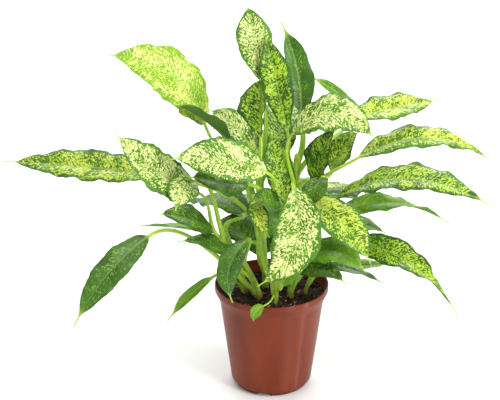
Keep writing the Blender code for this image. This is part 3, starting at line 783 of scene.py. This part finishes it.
LEAVES = {
    "crown_tall": Leaf("back_left", 126, (114, 26, 226), (119, 52, 302), 38, 0, 0, -25, widest=0.6,
                       habit=Habit.CREAM, drip=0.99),
    "crown_dark": Leaf("back_right", 140, (44, 23, 172), (102, 31, 275), 34, 0, 0, -50, fold=12,
                       widest=0.58, habit=Habit.DEEP, drip=0.99),
    "crown_right": Leaf("back_right", 144, (42, 41, 194), (80, 48, 286), 31, 4, 4, -30, fold=20,
                        stalk=2.8, widest=0.36, habit=Habit.GLOSS),
    "crown_left": Leaf("back_left", 114, (237, 22, 182), (143, 16, 237), 46, 0, 0, -45, fold=36,
                       widest=0.58, habit=Habit.DEEP, drip=0.98),
    "upper_left": Leaf("back_left", 108, (174, 70, 188), (188, 172, 274), 56, 22, -3, -54, fold=5,
                       habit=Habit.PALE),
    "left_edge": Leaf("back_left", 96, (190, 46, 176), (200, 108, 228), 30, 4, 0, 10, fold=30,
                      habit=Habit.DEEP),
    "left_back": Leaf("back_left", 100, (135, 34, 158), (150, 78, 192), 32, 6, 1, -40, fold=6,
                      habit=Habit.CREAM),
    "left_long": Leaf("back_left", 76, (172, 122, 126), (168, 294, 124), 44, 2, 2, -26, habit=Habit.LIME),
    "left_cream": Leaf("left", 64, (193, 78, 121), (202, 171, 208), 48, -7, 2, -55, fold=5,
                       habit=Habit.CREAM),
    "left_nod": Leaf("front_left", 14, (198, 84, 138), (212, 116, 120), 34, 6, 2, -30, stalk=2.4,
                     habit=Habit.CREAM),
    "centre_cream": Leaf("back_left", 84, (258, 32, 150), (209, 120, 175), 48, 8, -1, -46, fold=5,
                         habit=Habit.CREAM),
    "centre_shade": Leaf("back_left", 30, (224, 35, 134), (205, 95, 149), 46, 0, 0, -24, stalk=2.6,
                         habit=Habit.PAINTED_SHADE),
    "left_low": Leaf("left", 44, (196, 64, 78), (200, 126, 109), 36, 5, -1, -26, stalk=2.0,
                     habit=Habit.PAINTED_SHADE),
    "left_thin": Leaf("left", 52, (173, 79, 67), (164, 147, 58), 28, 2, 0, 18, fold=10, habit=Habit.PLAIN),
    "left_droop": Leaf("left", 26, (197, 133, 82), (206, 225, 8), 31, 12, -2, -40, stalk=2.4,
                       habit=Habit.GLOSS),
    "left_under": Leaf("front_left", 34, (217, 43, 44), (204, 108, 78), 30, 10, 0, -14, habit=Habit.PAINTED_SHADE),
    "rim_left": Leaf("front_left", 42, (235, 44, 76), (236, 73, 16), 26, 14, 6, -20, habit=Habit.GLOSS),
    "rim_narrow": Leaf("left", 10, (182, 62, 18), (188, 112, -28), 14, 4, -2, -40, fold=30,
                       habit=Habit.PLAIN),
    "front_cream": Leaf("front_right", 104, (296, 49, 138), (259, 86, 46), 50, -13, -17, -33, fold=5,
                        habit=Habit.CREAM),
    "front_right": Leaf("front_right", 84, (319, 49, 119), (323, 125, 67), 42, 9, -3, 30, fold=6,
                        habit=Habit.LIME),
    "right_lime": Leaf("right", 22, (0, 66, 34), (358, 124, 35), 30, -4, habit=Habit.PALE),
    "right_plain": Leaf("front_right", 46, (307, 55, 57), (327, 115, 51), 38, 17, 0, 20, habit=Habit.PLAIN),
    "right_dark": Leaf("front_right", 30, (303, 53, 41), (322, 97, 36), 28, 11, -1, 16, habit=Habit.PAINTED_SHADE),
    "right_grey": Leaf("front_right", 20, (338, 54, 41), (344, 122, 25), 26, 4, 0, -6, habit=Habit.GLOSS),
    "right_twist": Leaf("back_right", 66, (5, 72, 90), (13, 197, 58), 28, 16, -1, 14, -110, 10,
                        habit=Habit.PLAIN),
    "right_shadow": Leaf("front_right", 62, (349, 73, 86), (350, 121, 77), 32, 3, habit=Habit.PAINTED_SHADE),
    "right_gloss": Leaf("back_right", 86, (38, 60, 93), (13, 100, 95), 31, 5, habit=Habit.GLOSS),
    "right_big": Leaf("back_right", 88, (7, 68, 105), (345, 233, 122), 47, 27, 0, 14, fold=6,
                      habit=Habit.DEEP),
    "right_mid": Leaf("back_right", 98, (14, 93, 144), (14, 246, 122), 42, 26, -1, 12, fold=6,
                      habit=Habit.LIME),
    "right_top": Leaf("back_right", 132, (17, 91, 187), (27, 202, 183), 42, 1, -2, 18, habit=Habit.LIME),
    "right_cream": Leaf("front_right", 116, (6, 20, 178), (342, 112, 184), 50, 27, -1, 32, fold=5,
                        habit=Habit.CREAM),
    "right_speck": Leaf("back_right", 112, (36, 79, 118), (28, 106, 164), 42, 4, -2, 20, habit=Habit.LIME),
    "right_side": Leaf("back_right", 108, (0, 56, 114), (6, 68, 186), 42, 10, 3, 60, fold=20,
                       habit=Habit.DEEP),
    "right_nook": Leaf("front_right", 92, (335, 56, 141), (308, 63, 117), 30, 6, 0, 10, habit=Habit.PAINTED_SHADE),
    "back_twist": Leaf("back_right", 128, (42, 116, 183), (62, 77, 220), 12, 2, 0, -60, 20, 20,
                       habit=Habit.PLAIN),
    "front_seedling": Leaf("front", 6, (262, 64, 14), (254, 70, -2), 12, 2, 3, stalk=0.9,
                           habit=Habit.PLAIN, drip=0.98),
    "front_curl": Leaf("front", 30, (306, 47, 48), (278, 64, 32), 24, 6, 0, -20, fold=16,
                       habit=Habit.PLAIN),
    "front_lime": Leaf("front", 24, (224, 26, 114), (267, 52, 86), 22, 2, 4, habit=Habit.LIME),
    "centre_low": Leaf("front_right", 54, (290, 25, 112), (243, 50, 121), 28, 4, 0, -30, habit=Habit.PAINTED_SHADE),
    "centre_back": Leaf("back_right", 120, (320, 16, 111), (95, 18, 178), 34, habit=Habit.DEEP),
    "mid_left": Leaf("back_left", 48, (140, 30, 50), (152, 68, 68), 46, 4, 0, -10, habit=Habit.PAINTED_SHADE),
    "right_arch": Leaf("front_right", 54, (354, 82, 62), (337, 207, 11), 35, 20, -1, 25, -140, 10,
                       habit=Habit.DEEP),
    "back_middle": Leaf("back_left", 70, (100, 60, 110), (98, 190, 90), 48, 22, habit=Habit.PAINTED_SHADE),
    "back_low_right": Leaf("back_right", 70, (70, 56, 70), (66, 180, 44), 54, 18, habit=Habit.PLAIN),
    "back_high_left": Leaf("back_left", 110, (110, 50, 130), (112, 175, 120), 46, 20, habit=Habit.LIME),
    "back_low_left": Leaf("left", 70, (128, 50, 72), (129, 142, 50), 54, 12, habit=Habit.PAINTED_SHADE),
    "back_side_right": Leaf("back_right", 76, (45, 56, 84), (45, 155, 66), 50, 8, habit=Habit.LIME),
    "back_drop": Leaf("back_left", 10, (108, 34, 26), (103, 150, 0), 56, 12, habit=Habit.PAINTED_SHADE),
    "back_low": Leaf("back_left", 40, (100, 48, 40), (97, 170, 38), 58, 14, habit=Habit.PLAIN),
    "back_high_right": Leaf("back_right", 118, (85, 40, 150), (78, 160, 150), 46, 22, habit=Habit.DEEP),
    "back_near": Leaf("back_left", 118, (84, 34, 134), (86, 130, 136), 42, 10, habit=Habit.DEEP),
}


@dataclass
class LeafShape:
    """Turns a Leaf into a closed skin: a sheathing foot, a channelled petiole and a blade."""
    canes: dict[str, Cane]
    tip_power: float = 0.65
    drawn_out: float = 0.2        # how much narrower than that the last quarter is
    thread: float = 0.36          # thickness of the thread as a share of the midrib's
    spread: float = 0.6           # how far a petiole leans out as it leaves its cane
    sheath: float = 15.0          # length of cane that the foot clasps, mm
    sheath_rings: int = 6
    petiole_rings: int = 16
    blade_rings: int = 72
    half_columns: int = 11        # columns of faces on each side of the midrib
    blade_thick: float = 0.55     # mm
    vein_depth: float = 0.32      # how far the upper skin dips at a side vein, mm
    margin_wave: float = 0.085    # height of the margin's waves as a share of the half-width
    wave_mm: float = 34.0         # length of a wave
    tip_left: float = 0.35        # size of the last ring, as a share
    short_reach: float = 25.0     # a blade that reaches less than this heads as its petiole does, mm
    first_seed: int = 100

    def width_at(self, share: np.ndarray, leaf: Leaf) -> np.ndarray:
        """Return the blade's half-width, from 0 to 1, at shares of its length."""
        power = log(0.5) / log(leaf.widest / leaf.drip)
        along = np.clip(share / leaf.drip, 0, 1)
        drawn = 1 - self.drawn_out * ease((along - 0.74) / 0.26)
        return np.sin(pi * along ** power) ** self.tip_power * (1 - 0.25 * along ** 6) * drawn

    def place(self, heading: float, reach: float, height: float) -> np.ndarray:
        """Return the point at a heading in degrees, a reach and a height above the soil."""
        turn = radians(heading)
        return np.array([reach * cos(turn), reach * sin(turn), SOIL_TOP + height])

    def line(self, leaf: Leaf) -> dict[str, np.ndarray]:
        """Return a leaf's middle line.

        Returns:
            Arrays by name: points, side and face directions, and the shares along the petiole
            and along the blade.
        """
        cane = self.canes[leaf.cane]
        joint, tip = self.place(*leaf.joint), self.place(*leaf.tip)
        stem = cane.point(leaf.foot)
        rise = unit(cane.point(leaf.foot + 4) - stem)
        outward = unit((joint - stem) * (1, 1, 0))
        foot = stem + outward * (cane.radius(leaf.foot) + leaf.stalk * 1.25 + AIR + 0.2)
        heading = (tip - joint) * (1, 1, 0)
        if np.linalg.norm(heading) < self.short_reach:
            heading = (joint - foot) * (1, 1, 0)
        right = np.cross(unit(heading), (0, 0, 1))
        chord = unit(tip - joint)
        right_of_chord = unit(right - chord * (right @ chord))
        above_chord = np.cross(right_of_chord, chord)
        bow = (joint + tip) / 2 + 2 * (leaf.arch * above_chord + leaf.sway * right_of_chord)
        start = unit(bow - joint)
        length = np.linalg.norm(joint - foot)
        petiole = np.linspace(0, 1, self.petiole_rings + 1)
        blade = np.linspace(0, 1, self.blade_rings + 1)
        lean = unit(rise + self.spread * outward)
        stalk_line = bezier([foot, foot + lean * length * leaf.reach_up,
                             joint - start * length * 0.35, joint], petiole)
        down = np.linspace(1, 0, self.sheath_rings, endpoint=False)
        low = max(leaf.foot - self.sheath, -6.0)
        clasp = np.array([cane.point(leaf.foot + (low - leaf.foot) * d)
                          + outward * (cane.radius(leaf.foot) * (1 - 0.65 * d)
                                       + (leaf.stalk * 0.9 + AIR) * (1 - d))
                          for d in down])
        points = np.vstack([clasp, stalk_line, bezier([joint, bow, tip], blade)[1:]])
        sheath = np.concatenate([down, np.zeros(len(points) - self.sheath_rings)])
        petiole = np.concatenate([0 * down, petiole, np.ones(self.blade_rings)])
        blade = np.concatenate([np.zeros(self.sheath_rings + self.petiole_rings + 1), blade[1:]])
        ahead = np.gradient(points, axis=0)
        ahead /= np.linalg.norm(ahead, axis=1)[:, None]
        side = right - ahead * (ahead @ right)[:, None]
        side /= np.linalg.norm(side, axis=1)[:, None]
        face = np.cross(side, ahead)
        turn = np.radians(leaf.roll * ease((petiole - 0.4) / 0.6) + leaf.twist * (blade - 0.4) * (blade > 0))
        turn = turn[:, None]
        return {"points": points, "side": side * np.cos(turn) - face * np.sin(turn),
                "face": face * np.cos(turn) + side * np.sin(turn),
                "sheath": sheath, "petiole": petiole, "blade": blade,
                "length": np.concatenate([[0], np.cumsum(np.linalg.norm(np.diff(points, axis=0), axis=1))])}

    def columns(self) -> tuple[np.ndarray, np.ndarray]:
        """Return the ring's columns: shares of the half-width from -1 to 1, and 1 for the underside."""
        half = np.sin(np.linspace(0, pi / 2, self.half_columns + 1)) ** 0.9
        over = np.concatenate([-half[::-1], half[1:]])
        under = over[-2:0:-1]
        return np.concatenate([over, under]), np.concatenate([0 * over, 0 * under + 1])

    def build(self, name: str, leaf: Leaf, number: int, finish: bpy.types.Material) -> bpy.types.Object:
        """Make one leaf and dress it.

        Args:
            name: which leaf this is.
            leaf: its sizes.
            number: its place in the table, which seeds its waves.
            finish: its skin.

        Returns:
            The object.
        """
        rng = np.random.default_rng(self.first_seed + number)
        line = self.line(leaf)
        column, lower = self.columns()
        blade, petiole, sheath = line["blade"], line["petiole"], line["sheath"]
        along = line["length"] - line["length"][self.sheath_rings + self.petiole_rings]
        wide = leaf.width / 2 * self.width_at(blade, leaf)
        rib = np.where(blade > 0, 0.8 * (1 - (1 - self.thread) * blade),
                       1.25 - 0.45 * petiole) * leaf.stalk
        flat = ease(wide / (2.6 * leaf.stalk))[:, None]
        u = column[None, :]
        body = np.abs(u)
        top = 1 - 2 * lower[None, :]

        # round, channelled stalk; the foot is flattened round the cane
        stalk_x = rib[:, None] * np.sin(pi / 2 * u) * (1 + 0.75 * sheath[:, None])
        channel = 0.5 * np.exp(-(u / 0.33) ** 2) * (top > 0) * (1 - sheath[:, None])
        stalk_z = rib[:, None] * (np.cos(pi / 2 * u) - channel) * top * (1 - 0.3 * sheath[:, None])

        # blade: two halves raised from the midrib, domed, with wavy margins and dipped side veins
        phase = rng.uniform(0, 2 * pi, 6)
        half = np.where(u < 0, 0, 1)
        turn = along[:, None] * 2 * pi / (self.wave_mm * rng.uniform(0.85, 1.2))
        swell = np.sin(turn + phase[0] + 2.4 * half) + 0.45 * np.sin(2.3 * turn + phase[1] + 3.1 * half)
        uneven = (1 + 0.035 * np.sin(1.3 * turn + phase[2] + 2 * half)
                  + 0.014 * np.sin(4.1 * turn + phase[3] + half))
        width = wide[:, None] * (1 + (uneven - 1) * body)
        fold = radians(leaf.fold)
        lift = sin(fold) * body + 0.11 * 4 * body * (1 - body) * (1 - leaf.fold / 50)
        curl = self.margin_wave * leaf.wave * swell * body ** 2.2
        row = along[:, None] - LeafSkin.vein_slant * body * wide[:, None]
        vein = np.exp(-((row / LeafSkin.vein_mm) % 1 - 0.5) ** 2 / 0.02)
        dip = self.vein_depth * vein * body * (1 - body) * 4 * np.clip(wide[:, None] / 10, 0, 1)
        thick = self.blade_thick / 2 * (1 - 0.65 * body ** 6) * top
        keel = np.exp(-(u * wide[:, None] / np.maximum(rib[:, None], 0.3)) ** 2)
        groove = np.where(top > 0, -0.35 * rib[:, None] * keel, -0.9 * rib[:, None] * keel)
        blade_x = u * np.maximum(width * cos(fold), rib[:, None])
        blade_z = width * (lift + curl) - dip + thick + groove
        x = stalk_x * (1 - flat) + blade_x * flat
        z = stalk_z * (1 - flat) + blade_z * flat
        taper = np.ones(len(blade))
        taper[-1] = self.tip_left
        x, z = x * taper[:, None], z * taper[:, None]
        points = (line["points"][:, None, :] + line["side"][:, None, :] * x[..., None]
                  + line["face"][:, None, :] * z[..., None])

        rings, sides = points.shape[:2]
        piece = new_piece("leaf_" + name, points.reshape(-1, 3), ring_faces(rings, sides), finish)
        shape = (rings, sides)
        mm = np.stack([np.broadcast_to(u * wide[:, None] + stalk_x * (1 - flat), shape),
                       np.broadcast_to(along[:, None], shape), np.full(shape, 40.0 * number)], 2)
        share = np.stack([np.broadcast_to(u, shape), np.broadcast_to(blade[:, None], shape),
                          np.broadcast_to(lower[None, :], shape)], 2)
        self.note(piece, "leaf_mm", "FLOAT_VECTOR", "vector", mm)
        self.note(piece, "leaf_share", "FLOAT_VECTOR", "vector", share)
        self.note(piece, "stalk", "FLOAT", "value", np.broadcast_to(1 - flat, shape))
        stand_for(piece, "leaf_" + name)
        return piece

    def note(self, piece: bpy.types.Object, name: str, kind: str, key: str, values: np.ndarray) -> None:
        """Store values on a piece's points for its material to read."""
        layer = piece.data.attributes.new(name, kind, "POINT")
        layer.data.foreach_set(key, np.ascontiguousarray(values, dtype=np.float32).ravel())


# ---- the studio --------------------------------------------------------------------------------
@dataclass
class Studio:
    """White paper sweep, soft light and a long lens. Sizes are metres."""
    aim: tuple[float, float, float] = (-0.023, 0.0, 0.2117)
    distance: float = 2.0
    elevation: float = 23.5       # degrees above the horizon
    lens: float = 138.0           # millimetres
    sweep_width: float = 9.0
    sweep_front: float = 4.0
    sweep_back: float = 3.2
    sweep_bend: float = 1.6
    sweep_height: float = 4.5
    air: float = 0.45             # strength of the even light from all round

    def sweep(self) -> None:
        """Make the floor and backdrop as one sheet with a wide bend."""
        bend = [(self.sweep_back + self.sweep_bend * sin(turn), self.sweep_bend * (1 - cos(turn)))
                for turn in np.linspace(0, pi / 2, 17)]
        line = [(-self.sweep_front, 0.0), (-1.0, 0.0), *bend,
                (self.sweep_back + self.sweep_bend, self.sweep_height)]
        half = self.sweep_width / 2 / MM
        points = np.array([(x, y / MM, z / MM) for y, z in line for x in (-half, half)])
        faces = [(2 * i, 2 * i + 1, 2 * i + 3, 2 * i + 2) for i in range(len(line) - 1)]
        paper = new_piece("studio_sweep", points, faces, StudioPaper().material())

    def softbox(self, name: str, place: tuple[float, float, float], size: tuple[float, float],
                power: float, aim: tuple[float, float, float] = (0.0, 0.0, 0.2)) -> None:
        """Hang one rectangular soft light.

        Args:
            name: its name.
            place: where it hangs.
            size: its width and height.
            power: watts.
            aim: the point that it faces, which is the plant unless given.
        """
        light = bpy.data.lights.new(name, "AREA")
        light.shape, light.size, light.size_y, light.energy = "RECTANGLE", size[0], size[1], power
        lamp = bpy.data.objects.new(name, light)
        lamp.location = place
        lamp.rotation_euler = (Vector(aim) - Vector(place)).to_track_quat("-Z", "Y").to_euler()
        bpy.context.scene.collection.objects.link(lamp)

    def build(self) -> None:
        """Set up the sweep, the lights, the world and the camera."""
        self.sweep()
        # the key and the low narrow edge light draw the two upright lines of light on the pot
        self.softbox("key_softbox", (1.02, -1.14, 1.2), (0.36, 1.5), 19.0)
        self.softbox("edge_softbox", (1.44, -0.53, 0.4), (0.12, 0.8), 9.0)
        self.softbox("fill_softbox", (-1.5, -1.2, 1.1), (1.4, 1.4), 6.0)
        self.softbox("top_softbox", (0.0, 0.1, 1.9), (1.6, 1.6), 20.0)
        self.softbox("paper_softbox", (0.0, 2.1, 1.5), (3.0, 0.8), 60.0, aim=(0.0, 1.1, 0.0))
        world = bpy.data.worlds.new("studio_air")
        world.use_nodes = True
        sky = world.node_tree.nodes["Background"]
        sky.inputs["Color"].default_value = linear("#FFFFFF")
        sky.inputs["Strength"].default_value = self.air
        bpy.context.scene.world = world
        lens = bpy.data.cameras.new("camera")
        lens.lens, lens.sensor_width, lens.clip_end = self.lens, 36.0, 50.0
        camera = bpy.data.objects.new("camera", lens)
        up = radians(self.elevation)
        back = Vector((0, -cos(up), sin(up)))
        camera.location = Vector(self.aim) + back * self.distance
        camera.rotation_euler = (-back).to_track_quat("-Z", "Y").to_euler()
        bpy.context.scene.collection.objects.link(camera)
        bpy.context.scene.camera = camera
        bpy.context.scene.view_settings.view_transform = "Standard"


def main() -> None:
    """Build the plant and its studio."""
    logging.basicConfig(level=logging.INFO, format="%(name)s: %(message)s")
    Studio().build()
    pot = NurseryPot()
    pot.build()
    PottingMix(pot).build()
    skin = CaneSkin().material()
    for name, cane in CANES.items():
        cane.build(name, skin)
    finishes = {habit: habit.value.material() for habit in Habit}
    shape = LeafShape(CANES)
    for number, (name, leaf) in enumerate(LEAVES.items()):
        shape.build(name, leaf, number, finishes[leaf.habit])


if __name__ == "__main__":
    main()
